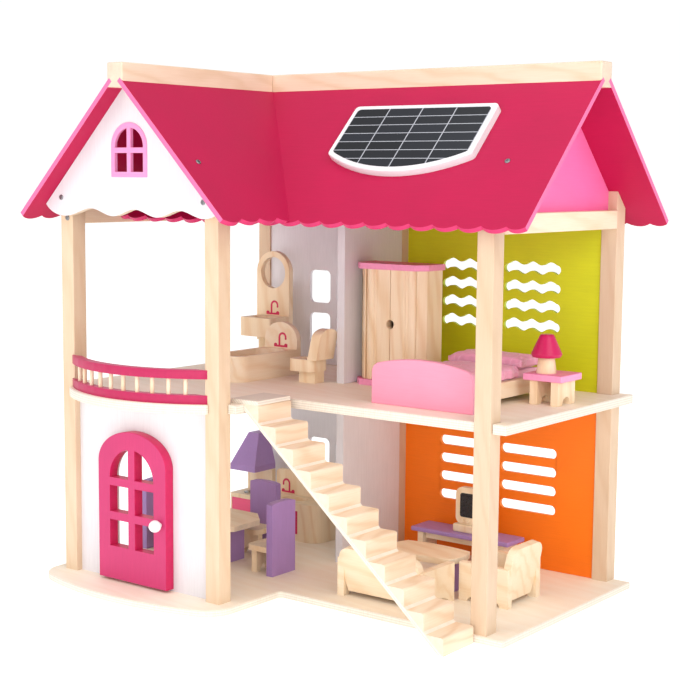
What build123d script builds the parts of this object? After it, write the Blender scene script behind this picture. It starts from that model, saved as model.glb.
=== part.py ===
from build123d import *
import math
import os

# Wooden dollhouse: an L-shaped two-storey house of pine posts and plywood panels, with furniture.
# Every piece is drawn from a plan datum, the outer corner of the front right post on top of the
# base board: X to the right, Y to the back, Z up.  save() then moves it to the model frame, whose
# origin is the centre of the whole house's box, on the ground.

# ------------------------------------------------------------------ house, driving sizes (mm)
POST = 20.0                      # square posts
BASE_T = 8.0                     # base board
FLOOR_TOP = 223.5                # walking surface of the upper floor
FLOOR_T = 10.5
FLOOR_LOW = FLOOR_TOP - FLOOR_T
HOUSE_W = 541.0                  # left to right over the posts
HOUSE_D = 288.0                  # front to back over the posts of the main block
WING_FRONT = -90.0               # front faces of the two wing posts
WING_HALF = 124.5                # half the wing's width over its posts
WALL_T = 5.0                     # rear walls and front panel
WALL_Y = 270.5                   # front face of the rear walls
GROOVE = 3.0                     # how far a wall goes into a post
PARTITION_T = 11.0
PARTITION_FRONT = 137.0
BEAM_LOW = 416.5                 # side beams between the posts
BEAM_H = 21.0
WALL_HIGH = 451.0                # top of the upper rear walls

LEFT = -HOUSE_W
BACK = HOUSE_D
WING_X = LEFT + WING_HALF        # centre of the wing
MIDDLE_POST = (-313.0, -293.0)   # rear post between the two bays
MIDDLE_POST_Y = (256.5, 276.5)

# ------------------------------------------------------------------ roof
RIDGE_Y = 147.0                  # centre of the main ridge
APEX = 588.0                     # where the outer faces of two slopes would meet
SLOPE_T = 5.6                    # thickness of a roof panel
SLOPE_DROP = SLOPE_T * math.sqrt(2)
MAIN_REACH = 165.5               # ridge centre to the tips of the eave's scallops, level
WING_REACH = 163.0
ROOF_RIGHT = 44.5                # right rake of the main roof
ROOF_LEFT = -520.5
WING_RAKE = -121.5               # front rake of the wing roof
LOBE = 29.4                      # pitch of the scallops
LOBE_DEPTH = 5.0
LAST_LOBE = 21.5                 # shorter scallop at the right rake
SLOT_REACH = 8.3                 # ridge centre to the panel's top edge, level
RIDGE_W = 24.0
RIDGE_LOW = 569.5
RIDGE_TOP = 596.5

# ------------------------------------------------------------------ model frame
OVERALL_FRONT = -139.0           # the bow of the base board
OVERALL_BACK = RIDGE_Y + MAIN_REACH
OVERALL_LEFT = WING_X - WING_REACH
TO_MODEL = Pos(-(OVERALL_LEFT + ROOF_RIGHT) / 2, -(OVERALL_FRONT + OVERALL_BACK) / 2, BASE_T)

FAR = 900.0                      # larger than the house, for cutting tools
GAP = 0.3                        # between a moving piece and its neighbour
PIN_PLAY = 0.05                  # radial play of a pin
SOFT = 0.8                       # softened edge of a wooden piece


# ------------------------------------------------------------------ helpers
def block(x, y, z):
    """Box between three pairs of coordinates."""
    centre = [sum(pair) / 2 for pair in (x, y, z)]
    return Pos(*centre) * Box(x[1] - x[0], y[1] - y[0], z[1] - z[0])


def soft_block(x, y, z, radius=SOFT):
    """Box with all its edges rounded."""
    box = block(x, y, z)
    return fillet(box.edges(), radius)


def slab_xy(sketch, z):
    """Sketch of X and Y, as a slab between two heights."""
    return extrude(Pos(0, 0, z[0]) * sketch, amount=z[1] - z[0], dir=(0, 0, 1))


def slab_xz(sketch, y):
    """Sketch of X and Z, as a slab between two Y."""
    plane = Plane((0, y[1], 0), x_dir=(1, 0, 0), z_dir=(0, -1, 0))
    return extrude(plane * sketch, amount=y[1] - y[0], dir=(0, -1, 0))


def slab_yz(sketch, x):
    """Sketch of Y and Z, as a slab between two X."""
    plane = Plane((x[0], 0, 0), x_dir=(0, 1, 0), z_dir=(1, 0, 0))
    return extrude(plane * sketch, amount=x[1] - x[0], dir=(1, 0, 0))


def outline(*points):
    return Polygon(*points, align=None)


def area(x, y):
    """Rectangle between two pairs."""
    return Pos(sum(x) / 2, sum(y) / 2) * Rectangle(x[1] - x[0], y[1] - y[0])


def soft_area(x, y, radius):
    """Rectangle between two pairs, with round corners."""
    return Pos(sum(x) / 2, sum(y) / 2) * RectangleRounded(x[1] - x[0], y[1] - y[0], radius)


def rod(x, y, z, radius):
    """Upright round bar."""
    return Pos(x, y, sum(z) / 2) * Cylinder(radius, z[1] - z[0])


def bar_x(x, y, z, radius):
    """Round bar along X."""
    return Pos(sum(x) / 2, y, z) * Rot(0, 90, 0) * Cylinder(radius, x[1] - x[0])


def arch(x, z_low, z_spring, rise):
    """Rectangle under half an ellipse."""
    half = (x[1] - x[0]) / 2
    crown = Pos((x[0] + x[1]) / 2, z_spring) * Ellipse(half, rise)
    crown &= area(x, (z_spring, z_spring + rise))
    return area(x, (z_low, z_spring)) + crown


def soften(solid, radius=SOFT, axis=Axis.Z):
    """Round the edges that run along one axis."""
    return fillet(solid.edges().filter_by(axis), radius)


def save(name, *solids):
    """Write one node, in the model frame."""
    moved = [TO_MODEL * piece for solid in solids for piece in solid.solids()]
    shape = moved[0] if len(moved) == 1 else Compound(children=moved)
    shape.label = name
    export_step(shape, os.path.join("parts", name + ".step"))


# ------------------------------------------------------------------ roof tools
def main_under(drop):
    """Everything below the two main slopes, lowered by drop."""
    top = APEX - drop
    return outline((RIDGE_Y, top), (RIDGE_Y - FAR, top - FAR), (RIDGE_Y + FAR, top - FAR))


def wing_under(drop):
    """Everything below the two wing slopes, lowered by drop."""
    top = APEX - drop
    return outline((WING_X, top), (WING_X - FAR, top - FAR), (WING_X + FAR, top - FAR))


def scalloped(start, end, cusps, top, eave):
    """Panel outline: u along the ridge, minus v down the slope; eave is at the scallops' tips."""
    eave -= LOBE_DEPTH
    marks = [start] + [mark for mark in cusps if start + 1 < mark < end - 1] + [end]
    edges = [Line((start, -top), (end, -top)), Line((end, -top), (end, -eave))]
    for left, right in zip(marks[:-1], marks[1:]):
        sag = LOBE_DEPTH * min(1.0, (right - left) / LOBE)
        edges.append(ThreePointArc((left, -eave), ((left + right) / 2, -eave - sag), (right, -eave)))
    edges.append(Line((start, -eave), (start, -top)))
    return make_face(edges)


def slope(origin, along, normal, sketch):
    """Roof panel below its outer plane."""
    plane = Plane(origin, x_dir=along, z_dir=normal)
    return extrude(plane * sketch, amount=-SLOPE_T)


def main_slope(side):
    """side -1 is the front slope, +1 the back slope."""
    cusps = [ROOF_RIGHT - LAST_LOBE - LOBE * step for step in range(20)]
    start, end = ROOF_LEFT, ROOF_RIGHT
    if side > 0:
        cusps = [-mark for mark in cusps]
        start, end = -ROOF_RIGHT, -ROOF_LEFT
    sketch = scalloped(start, end, sorted(cusps), SLOT_REACH * math.sqrt(2), MAIN_REACH * math.sqrt(2))
    return slope((0, RIDGE_Y, APEX), (-side, 0, 0), (0, side, 1), sketch)


def wing_slope(side):
    """side -1 is the left slope, +1 the right slope; the back end lies on the main front slope."""
    cusps = [WING_RAKE + LOBE * step for step in range(1, 10)]
    start, end = WING_RAKE, RIDGE_Y
    if side < 0:
        cusps = [-mark for mark in cusps]
        start, end = -RIDGE_Y, -WING_RAKE
    sketch = scalloped(start, end, sorted(cusps), SLOT_REACH * math.sqrt(2), WING_REACH * math.sqrt(2))
    panel = slope((WING_X, 0, APEX), (0, side, 0), (side, 0, 1), sketch)
    main_roof = slab_yz(main_under(0), (LEFT - FAR, FAR))
    beam_room = block((LEFT - FAR, FAR), (RIDGE_Y - RIDGE_W / 2, RIDGE_Y + FAR), (RIDGE_LOW, FAR))
    return panel - main_roof - beam_room


def ridge_beam(x, y):
    beam = block(x, y, (RIDGE_LOW, RIDGE_TOP))
    beam = soften(beam, 2.0)
    return fillet(beam.faces().sort_by(Axis.Z)[-1].edges(), 1.5)


def main_ridge():
    across = (RIDGE_Y - RIDGE_W / 2, RIDGE_Y + RIDGE_W / 2)
    return ridge_beam((ROOF_LEFT, ROOF_RIGHT), across) - main_slope(-1) - main_slope(1)


def wing_ridge():
    across = (WING_X - RIDGE_W / 2, WING_X + RIDGE_W / 2)
    beam = ridge_beam(across, (WING_RAKE, RIDGE_Y - RIDGE_W / 2))
    beam -= slab_yz(main_under(0), (LEFT - FAR, FAR))
    return beam - wing_slope(-1) - wing_slope(1)


# ------------------------------------------------------------------ boards
BASE_RIGHT = 21.5
BASE_FRONT = -3.4
BASE_BACK = 286.0
BASE_WING_HALF = 141.0
BASE_BOW_START = -112.0
BASE_CORNER = 35.0


def base_board():
    left, right = WING_X - BASE_WING_HALF, WING_X + BASE_WING_HALF
    bow = ThreePointArc((left, BASE_BOW_START), (WING_X, OVERALL_FRONT), (right, BASE_BOW_START))
    edges = [
        bow,
        Line((right, BASE_BOW_START), (right, BASE_FRONT)),
        Line((right, BASE_FRONT), (BASE_RIGHT, BASE_FRONT)),
        Line((BASE_RIGHT, BASE_FRONT), (BASE_RIGHT, BASE_BACK)),
        Line((BASE_RIGHT, BASE_BACK), (left, BASE_BACK)),
        Line((left, BASE_BACK), (left, BASE_BOW_START)),
    ]
    face = make_face(edges)
    front = face.vertices().sort_by(Axis.Y)[:2]
    face = fillet(front, BASE_CORNER)
    inner = face.vertices().sort_by_distance((right, BASE_FRONT))[0]
    face = fillet(inner, 6.0)
    board = slab_xy(face, (-BASE_T, 0))
    return chamfer(board.faces().sort_by(Axis.Z)[-1].edges(), 0.6)


BOW_CENTRE_Y = 49.8              # centre of the balcony's bow
RAIL_R = 176.8                   # outer face of the rails
RAIL_DEPTH = 10.0
RAIL_H = 10.0
FLOOR_R = 180.8
BOW_HALF = 110.0
FLOOR_RIGHT = 17.0
FLOOR_FRONT = 2.7
FLOOR_SIDE = 12.0                # the upper floor stands past the wing posts
TAB_FRONT = -75.0
NOTCH = 0.7                      # play round the posts


def post_squares():
    """X and Y ranges of the six posts."""
    wing_y = (WING_FRONT, WING_FRONT + POST)
    return {
        "wing_left": ((LEFT, LEFT + POST), wing_y),
        "wing_right": ((LEFT + 2 * WING_HALF - POST, LEFT + 2 * WING_HALF), wing_y),
        "front_right": ((-POST, 0), (0, POST)),
        "rear_right": ((-POST, 0), (BACK - POST, BACK)),
        "rear_left": ((LEFT, LEFT + POST), (BACK - POST, BACK)),
        "rear_middle": (MIDDLE_POST, MIDDLE_POST_Y),
    }


def upper_floor():
    left = LEFT - FLOOR_SIDE
    wing_right = WING_X + WING_HALF + FLOOR_SIDE
    inside = (LEFT + POST, LEFT + 2 * WING_HALF - POST)
    face = area((left, FLOOR_RIGHT), (FLOOR_FRONT, BACK))
    face += area((left, wing_right), (TAB_FRONT, FLOOR_FRONT + 1))
    face += area(inside, (WING_FRONT, TAB_FRONT + 1))
    bow = Pos(WING_X, BOW_CENTRE_Y) * Circle(FLOOR_R)
    face += bow & area((WING_X - BOW_HALF, WING_X + BOW_HALF), (WING_FRONT - FAR, WING_FRONT))
    for x, y in post_squares().values():
        face -= area((x[0] - NOTCH, x[1] + NOTCH), (y[0] - NOTCH, y[1] + NOTCH))
    return slab_xy(face, (FLOOR_LOW, FLOOR_TOP))


def post(name):
    """Post whose top follows the underside of the roof, with grooves for the walls."""
    x, y = post_squares()[name]
    column = soften(block(x, y, (0, APEX)))
    if name.startswith("wing"):
        column &= slab_xz(wing_under(SLOPE_DROP), (-FAR, FAR))
        grooves = [front_panel_blank()]
    else:
        column &= slab_yz(main_under(SLOPE_DROP), (-FAR, FAR))
        grooves = [wall_blank(bay, storey) for bay in BAYS for storey in STOREYS]
    for groove in grooves:
        column -= groove
    return column


# ------------------------------------------------------------------ walls
BAYS = {
    "left": (LEFT + POST - GROOVE, MIDDLE_POST[0] + GROOVE),
    "right": (MIDDLE_POST[1] - GROOVE, -POST + GROOVE),
}
STOREYS = {"lower": (0, FLOOR_LOW), "upper": (FLOOR_TOP, WALL_HIGH)}
PANEL_Y = (-82.0, -77.0)         # wing front panel

WINDOW_COLUMNS = ((-452.5, -418.5), (-407.5, -373.5))
WINDOW_H = 43.5
WINDOW_TOPS = {"upper": (349.0, 292.0), "lower": (122.5, 65.5)}
WINDOW_CORNER = 7.0
SLOT_LENGTH = 77.0
SLOT_CENTRES = (-200.8, -111.3)
SLOT_H = 11.0
SLOT_ROWS = {"lower": (143.5, 120.5, 97.5, 74.2), "upper": (366.5, 343.7, 320.8, 297.5)}
WAVE = 24.5                      # length of one ripple of the bedroom slots
WAVE_HEIGHT = 2.2


def wall_blank(bay, storey):
    return block(BAYS[bay], (WALL_Y, WALL_Y + WALL_T), STOREYS[storey])


def window_wall(storey):
    holes = Sketch()
    for column in WINDOW_COLUMNS:
        for top in WINDOW_TOPS[storey]:
            holes += soft_area(column, (top - WINDOW_H, top), WINDOW_CORNER)
    return wall_blank("left", storey) - slab_xz(holes, (WALL_Y - 1, WALL_Y + WALL_T + 1))


def rippled_slot():
    """Slot whose two long sides ripple together; round ends."""
    count = 12
    half = SLOT_LENGTH / 2 - SLOT_H / 2
    marks = [-half + 2 * half * step / count for step in range(count + 1)]
    line = [(mark, WAVE_HEIGHT * math.cos(2 * math.pi * mark / WAVE)) for mark in marks]
    low = Spline([(x, z - SLOT_H / 2) for x, z in line])
    high = Spline([(x, z + SLOT_H / 2) for x, z in line])
    ends = []
    for side in (0, -1):
        x, z = line[side]
        tip = x + SLOT_H / 2 * (1 if side else -1)
        ends.append(ThreePointArc((x, z - SLOT_H / 2), (tip, z), (x, z + SLOT_H / 2)))
    return make_face([low, high] + ends)


def slotted_wall(storey):
    slot = rippled_slot() if storey == "upper" else SlotOverall(SLOT_LENGTH, SLOT_H + 1)
    holes = Sketch()
    for centre in SLOT_CENTRES:
        for row in SLOT_ROWS[storey]:
            holes += Pos(centre, row) * slot
    return wall_blank("right", storey) - slab_xz(holes, (WALL_Y - 1, WALL_Y + WALL_T + 1))


def partition(storey):
    low, high = STOREYS[storey]
    x = (MIDDLE_POST[1] - PARTITION_T, MIDDLE_POST[1])
    if storey == "upper":
        high = RIDGE_LOW
    wall = slab_yz(area((PARTITION_FRONT, MIDDLE_POST_Y[0]), (low, high)), x)
    if storey == "upper":
        wall &= slab_yz(main_under(SLOPE_DROP), (-FAR, FAR))
    return wall


def side_beam(side):
    """side -1 runs along the left of the house, +1 along the right."""
    x = (-POST, 0) if side > 0 else (LEFT, LEFT + POST)
    front = POST if side > 0 else WING_FRONT + POST
    return soften(block(x, (front, BACK - POST), (BEAM_LOW, BEAM_LOW + BEAM_H)), axis=Axis.Y)


GABLE_T = 9.0
RIGHT_GABLE_X = -21.0
LEFT_GABLE_LOW = 420.0


def side_gable(side):
    if side > 0:
        x = (RIGHT_GABLE_X, RIGHT_GABLE_X + GABLE_T)
        face = area((POST, BACK - POST), (BEAM_LOW + BEAM_H, RIDGE_LOW))
    else:
        x = (ROOF_LEFT, ROOF_LEFT + GABLE_T)
        face = area((0, BACK - POST), (LEFT_GABLE_LOW, RIDGE_LOW))
    return slab_yz(face & main_under(SLOPE_DROP), x)


WING_GABLE_Y = (-99.0, WING_FRONT)
WAVE_LOW = 427.0
WAVE_TOP = 435.2
GABLE_CORNER = (139.9, 439.0)
WAVE_LOWS = (-96.5, -27.7, 41.1, 109.9)
ATTIC_X = (-29.0, 27.5)          # attic window, from the wing's centre
ATTIC_LOW = 471.0
ATTIC_SPRING = 505.0
ATTIC_RISE = 27.0
ATTIC_FRAME = 6.0
ATTIC_FRAME_T = 3.5


def wing_gable():
    """White triangle with a rippled lower edge and an arched window."""
    lows = [(WING_X + mark, WAVE_LOW) for mark in WAVE_LOWS]
    tops = [(WING_X + (a + b) / 2, WAVE_TOP) for a, b in zip(WAVE_LOWS[:-1], WAVE_LOWS[1:])]
    left = (WING_X - GABLE_CORNER[0], GABLE_CORNER[1])
    right = (WING_X + GABLE_CORNER[0], GABLE_CORNER[1])
    ripple = sorted(lows + tops)
    half_top = APEX - SLOPE_DROP - RIDGE_LOW
    edges = [
        Spline([left, (left[0] + 13, 429.5)] + ripple + [(right[0] - 12, 430.5), right]),
        Line(right, (WING_X + half_top, RIDGE_LOW)),
        Line((WING_X + half_top, RIDGE_LOW), (WING_X - half_top, RIDGE_LOW)),
        Line((WING_X - half_top, RIDGE_LOW), left),
    ]
    face = make_face(edges) & wing_under(SLOPE_DROP)
    return slab_xz(face - attic_hole(), WING_GABLE_Y)


def attic_hole():
    x = (WING_X + ATTIC_X[0], WING_X + ATTIC_X[1])
    return arch(x, ATTIC_LOW, ATTIC_SPRING, ATTIC_RISE)


def attic_window():
    """Frame in the arched hole, with a cross of glazing bars."""
    x = (WING_X + ATTIC_X[0], WING_X + ATTIC_X[1])
    centre = sum(x) / 2
    inner = arch((x[0] + ATTIC_FRAME, x[1] - ATTIC_FRAME), ATTIC_LOW + ATTIC_FRAME, ATTIC_SPRING,
                 ATTIC_RISE - ATTIC_FRAME)
    bars = area((centre - 3, centre + 3), (ATTIC_LOW, ATTIC_SPRING + ATTIC_RISE))
    bars += area(x, (ATTIC_SPRING - 7, ATTIC_SPRING - 1))
    frame = attic_hole() - (inner - bars)
    return slab_xz(frame, (WING_GABLE_Y[0] - 1.0, WING_GABLE_Y[0] + ATTIC_FRAME_T))


# ------------------------------------------------------------------ front panel and door
DOOR_X = (-477.5, -368.5)
DOOR_T = 12.5
DOOR_LOW = 3.0
DOOR_SPRING = 142.0
DOOR_RISE = 38.0
DOOR_BACK = PANEL_Y[0] - GAP
PANE_INNER = 5.3                 # half the glazing bar
PANE_OUTER = 35.5
PANE_ROWS = ((42.5, 74.0), (83.5, 114.5))
PANE_ARCH = 124.0
DOORWAY_X = (-461.0, -386.0)
DOORWAY_SPRING = 124.0
HINGE_ROWS = (30.0, 120.0)       # lower ends of the two hinges
HINGE_H = 16.0
LEAF_W = 10.0
LEAF_T = 0.8
KNUCKLE_R = 1.7
PIN_R = 0.9
HINGE_X = DOOR_X[0]
HINGE_Y = DOOR_BACK - 0.6
KNOB_X = -377.0
KNOB_Z = 78.7
KNOB_R = 7.0


def front_panel_blank():
    x = (LEFT + POST - GROOVE, LEFT + 2 * WING_HALF - POST + GROOVE)
    return block(x, PANEL_Y, (0, FLOOR_LOW))


def front_panel():
    half = (DOORWAY_X[1] - DOORWAY_X[0]) / 2
    doorway = arch(DOORWAY_X, -1, DOORWAY_SPRING, half)
    panel = front_panel_blank() - slab_xz(doorway, (PANEL_Y[0] - 1, PANEL_Y[1] + 1))
    for low in HINGE_ROWS:
        rows = (low - GAP, low + HINGE_H + GAP)
        panel -= block((HINGE_X, HINGE_X + LEAF_W), (PANEL_Y[0], PANEL_Y[0] + LEAF_T), rows)
        panel -= rod(HINGE_X, HINGE_Y, rows, KNUCKLE_R + GAP)
    return panel


def door_panes():
    """Two squares under a quarter circle, on each side of the middle bar."""
    holes = Sketch()
    for side in (-1, 1):
        x = sorted((side * PANE_INNER, side * PANE_OUTER))
        for row in PANE_ROWS:
            holes += area(x, row)
        quarter = Pos(0, PANE_ARCH) * Circle(PANE_OUTER)
        holes += quarter & area(x, (PANE_ARCH, PANE_ARCH + PANE_OUTER))
    return Pos(sum(DOOR_X) / 2, 0) * holes


def front_door():
    y = (DOOR_BACK - DOOR_T, DOOR_BACK)
    door = slab_xz(arch(DOOR_X, DOOR_LOW, DOOR_SPRING, DOOR_RISE), y)
    door = fillet(door.faces().sort_by(Axis.Y)[0].edges(), 1.0)
    door -= slab_xz(door_panes(), (y[0] - 1, y[1] + 1))
    for low in HINGE_ROWS:
        rows = (low - GAP, low + HINGE_H + GAP)
        door -= block((HINGE_X, HINGE_X + LEAF_W), (DOOR_BACK - LEAF_T, DOOR_BACK), rows)
        door -= rod(HINGE_X, HINGE_Y, rows, KNUCKLE_R + GAP)
    return door - knob_stem()


def knob_stem():
    front = DOOR_BACK - DOOR_T
    return Pos(KNOB_X, front, KNOB_Z) * Rot(90, 0, 0) * Cylinder(2.5, 12)


def door_knob():
    """Turned knob: a flattened ball on a stem."""
    front = DOOR_BACK - DOOR_T
    ball = Pos(KNOB_X, front - 8.5, KNOB_Z) * Sphere(KNOB_R)
    keep = block((KNOB_X - 9, KNOB_X + 9), (front - 13.5, front - 3), (KNOB_Z - 9, KNOB_Z + 9))
    return (ball & keep) + knob_stem()


def hinge_leaves(fixed):
    """Leaves with their knuckles; the fixed leaf has the two outer knuckles and the pin."""
    leaves = []
    third = HINGE_H / 3
    for low in HINGE_ROWS:
        y = (PANEL_Y[0], PANEL_Y[0] + LEAF_T) if fixed else (DOOR_BACK - LEAF_T, DOOR_BACK)
        leaf = block((HINGE_X + PIN_R, HINGE_X + LEAF_W), y, (low, low + HINGE_H))
        rows = [(low, low + third), (low + 2 * third, low + HINGE_H)]
        other = [(low + third, low + 2 * third)]
        if not fixed:
            rows, other = other, rows
        for gap in other:
            leaf -= rod(HINGE_X, HINGE_Y, (gap[0] - 0.1, gap[1] + 0.1), KNUCKLE_R + 2 * PIN_PLAY)
        for row in rows:
            leaf += rod(HINGE_X, HINGE_Y, row, KNUCKLE_R)
        if fixed:
            leaf += rod(HINGE_X, HINGE_Y, (low, low + HINGE_H), PIN_R)
        else:
            leaf -= rod(HINGE_X, HINGE_Y, (low - 1, low + HINGE_H + 1), PIN_R + PIN_PLAY)
        leaves.append(leaf)
    return leaves


# ------------------------------------------------------------------ balcony
RAIL_LOWS = (FLOOR_TOP, FLOOR_TOP + 28.0)
BALUSTERS = 10
BALUSTER_R = 2.4
BALUSTER_SPREAD = 29.5           # degrees each side of the middle
PEG = 2.0


def balusters():
    sticks = []
    reach = RAIL_R - RAIL_DEPTH / 2
    for step in range(BALUSTERS):
        turn = math.radians(-BALUSTER_SPREAD + 2 * BALUSTER_SPREAD * step / (BALUSTERS - 1))
        x = WING_X + reach * math.sin(turn)
        y = BOW_CENTRE_Y - reach * math.cos(turn)
        sticks.append(rod(x, y, (RAIL_LOWS[0] + RAIL_H - PEG, RAIL_LOWS[1] + PEG), BALUSTER_R))
    return sticks


def balcony_rails():
    ring = Pos(WING_X, BOW_CENTRE_Y) * (Circle(RAIL_R) - Circle(RAIL_R - RAIL_DEPTH))
    ring &= area((WING_X - BOW_HALF, WING_X + BOW_HALF), (WING_FRONT - FAR, WING_FRONT))
    rails = []
    for low in RAIL_LOWS:
        rail = slab_xy(ring, (low, low + RAIL_H))
        for stick in balusters():
            rail -= stick
        rails.append(rail)
    return rails


# ------------------------------------------------------------------ stairs
STEPS = 11
RISE = 21.29
RUN = 24.65
STAIR_END = -12.3                # nosing of the lowest step
STAIR_Y = (-62.0, -2.0 + BASE_FRONT)
LOWEST = 10.8                    # top of the lowest step
TREAD_H = 25.5
STRINGER_T = 4.5
STAIR_TOP_X = -280.0
LEDGE_X = (-299.0, -259.7)
LEDGE_T = 4.8
FIT = 0.2                        # between the hooked-on stairs and the floor


def stair_slope():
    """Line under the blocks: X and Z of its lowest point, and its slope."""
    return STAIR_END, -BASE_T, RISE / RUN


def stair_treads():
    x0, z0, grade = stair_slope()
    under = outline((x0, z0), (x0 - FAR, z0 + FAR * grade), (x0 - FAR, z0 - FAR), (x0, z0 - FAR))
    cutter = slab_xz(under, (STAIR_Y[0] - 1, STAIR_Y[1] + 1))
    treads = []
    for step in range(STEPS):
        nose = STAIR_END - RUN * step
        top = LOWEST + RISE * step
        back = max(nose - RUN, STAIR_TOP_X + FIT)
        tread = block((back, nose), STAIR_Y, (max(top - 2 * RISE, -BASE_T), top)) - cutter
        edge = tread.edges().filter_by(Axis.Y).sort_by_distance((nose, 0, top))[0]
        treads.append(fillet(edge, 2.5))
    return treads


def stair_stringer():
    """Sloping ply strip under the steps, and the flat ledge that lies on the upper floor."""
    x0, z0, grade = stair_slope()
    drop = STRINGER_T * math.sqrt(1 + grade * grade)
    top_x = STAIR_TOP_X + FIT
    z_top = z0 + (x0 - top_x) * grade
    strip = outline((x0, z0), (x0 - drop / grade, z0), (top_x, z_top - drop), (top_x, z_top))
    ledge_z = (FLOOR_TOP + FIT, FLOOR_TOP + FIT + LEDGE_T)
    return [slab_xz(strip, STAIR_Y), block(LEDGE_X, STAIR_Y, ledge_z)]


# ------------------------------------------------------------------ solar panel
SOLAR_X = (-249.5, -58.0)
SOLAR_TOP = 57.0                 # down the slope from the apex
SOLAR_SIDE = 134.0
SOLAR_BOTTOM = 161.0
SOLAR_T = 9.0
CELL_BORDER = 6.0
CELL_T = 0.8


def solar_outline(inset):
    left, right = SOLAR_X[0] + inset, SOLAR_X[1] - inset
    top, side, bottom = SOLAR_TOP + inset, SOLAR_SIDE - inset / 2, SOLAR_BOTTOM - inset
    edges = [
        Line((left, -top), (right, -top)),
        Line((right, -top), (right, -side)),
        ThreePointArc((right, -side), ((left + right) / 2, -bottom), (left, -side)),
        Line((left, -side), (left, -top)),
    ]
    face = make_face(edges)
    return fillet(face.vertices(), 6.0)


def solar_plane(height):
    return Plane((0, RIDGE_Y, APEX), x_dir=(1, 0, 0), z_dir=(0, -1, 1)).offset(height)


def solar_cells():
    return extrude(solar_plane(SOLAR_T - CELL_T / 2) * solar_outline(CELL_BORDER), amount=CELL_T)


def solar_board():
    board = extrude(solar_plane(0) * solar_outline(0), amount=SOLAR_T)
    top = board.faces().sort_by(Axis((0, 0, 0), (0, -1, 1)))[-1]
    return chamfer(top.edges(), 0.8) - solar_cells()


# ------------------------------------------------------------------ screws
SCREW_HEAD_R = 3.2
SCREW_HEAD_T = 1.2
SCREW_R = 1.4
SCREW_L = 11.0
SCREW_REACH = 97.0               # roof screws, level distance from the ridge


def screw(location):
    """Round-head screw along the location's Z, its head standing on the surface."""
    head = Pos(0, 0, SCREW_HEAD_T / 2) * Cylinder(SCREW_HEAD_R, SCREW_HEAD_T)
    head = fillet(head.faces().sort_by(Axis.Z)[-1].edges(), 1.0)
    for turn in (0, 90):
        head -= Pos(0, 0, SCREW_HEAD_T) * Rot(0, 0, turn) * Box(3.4, 0.7, 1.0)
    shank = Pos(0, 0, -SCREW_L / 2) * Cylinder(SCREW_R, SCREW_L)
    return location * (head + shank)


def on_main(x, reach, side):
    """Point on a main slope, reach from the ridge, looking out."""
    return Plane((x, RIDGE_Y + side * reach, APEX - reach), x_dir=(1, 0, 0), z_dir=(0, side, 1))


def on_wing(y, reach, side):
    return Plane((WING_X + side * reach, y, APEX - reach), x_dir=(0, 1, 0), z_dir=(side, 0, 1))


def screw_places():
    front = [(LEFT + 11.5, 423.0, WING_FRONT), (LEFT + 11.2, 447.0, WING_GABLE_Y[0])]
    front += [(WING_X + WING_HALF - 13.5, 445.0, WING_GABLE_Y[0])]
    places = [Plane((x, y, z), x_dir=(1, 0, 0), z_dir=(0, -1, 0)) for x, z, y in front]
    places += [on_main(RIGHT_GABLE_X + GABLE_T / 2, SCREW_REACH, side) for side in (-1, 1)]
    places += [on_main(ROOF_LEFT + GABLE_T / 2, SCREW_REACH, side) for side in (-1, 1)]
    places += [on_wing(sum(WING_GABLE_Y) / 2, SCREW_REACH + 3, side) for side in (-1, 1)]
    return [plane.location for plane in places]


def screws():
    return [screw(place) for place in screw_places()]


def screwed(solid):
    """Solid with the holes of the screws that go into it."""
    for shape in screws():
        solid -= shape
    return solid


# ------------------------------------------------------------------ bathroom
UP = FLOOR_TOP                   # furniture of the upper storey stands here
BATH_X = (-444.0, -391.0)
BATH_Y = (58.0, 167.0)
BATH_H = 31.5
BATH_BOARD_H = 65.0
BATH_WALL = 6.0
BASIN_X = (-511.0, -459.0)
BASIN_Y = (195.0, 235.0)
BASIN_Z = (UP + 39.0, UP + 64.0)
BASIN_BOARD_X = (-516.0, -460.0)
MIRROR_R = 21.0
TAP_SIZE = (22.0, 19.0)          # width of the foot, height
MIRROR_Z = UP + 121.5
BOARD_T = 8.0


def bathtub():
    """Tub cut from one block, rounded at the foot, with a round-topped board at the head."""
    tub = soft_area(BATH_X, (BATH_Y[0], BATH_Y[1] + 20), 16) & area(BATH_X, (BATH_Y[0], BATH_Y[1]))
    hollow = soft_area((BATH_X[0] + BATH_WALL, BATH_X[1] - BATH_WALL),
                       (BATH_Y[0] + BATH_WALL, BATH_Y[1] - BATH_WALL), 20)
    body = slab_xy(tub, (UP, UP + BATH_H)) - slab_xy(hollow, (UP + BATH_WALL, UP + BATH_H + 1))
    board = arch(BATH_X, UP, UP + 42, BATH_BOARD_H - 42)
    return [body, slab_xz(board, (BATH_Y[1], BATH_Y[1] + BOARD_T))]


def washbasin():
    half = (BASIN_BOARD_X[1] - BASIN_BOARD_X[0]) / 2
    middle = sum(BASIN_BOARD_X) / 2
    board = arch(BASIN_BOARD_X, UP + 30, UP + 150 - half, half) - Pos(middle, MIRROR_Z) * Circle(MIRROR_R)
    back = slab_xz(board, (BASIN_Y[1], BASIN_Y[1] + BOARD_T))
    bowl = soften(block(BASIN_X, BASIN_Y, BASIN_Z), 2.0)
    centre = (sum(BASIN_X) / 2, sum(BASIN_Y) / 2)
    bowl -= slab_xy(Pos(*centre) * Ellipse(19, 13), (BASIN_Z[1] - 14, BASIN_Z[1] + 1))
    stem = rod(centre[0], centre[1] + 4, (UP, BASIN_Z[0]), 11.0)
    return [back, bowl, stem]


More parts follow.
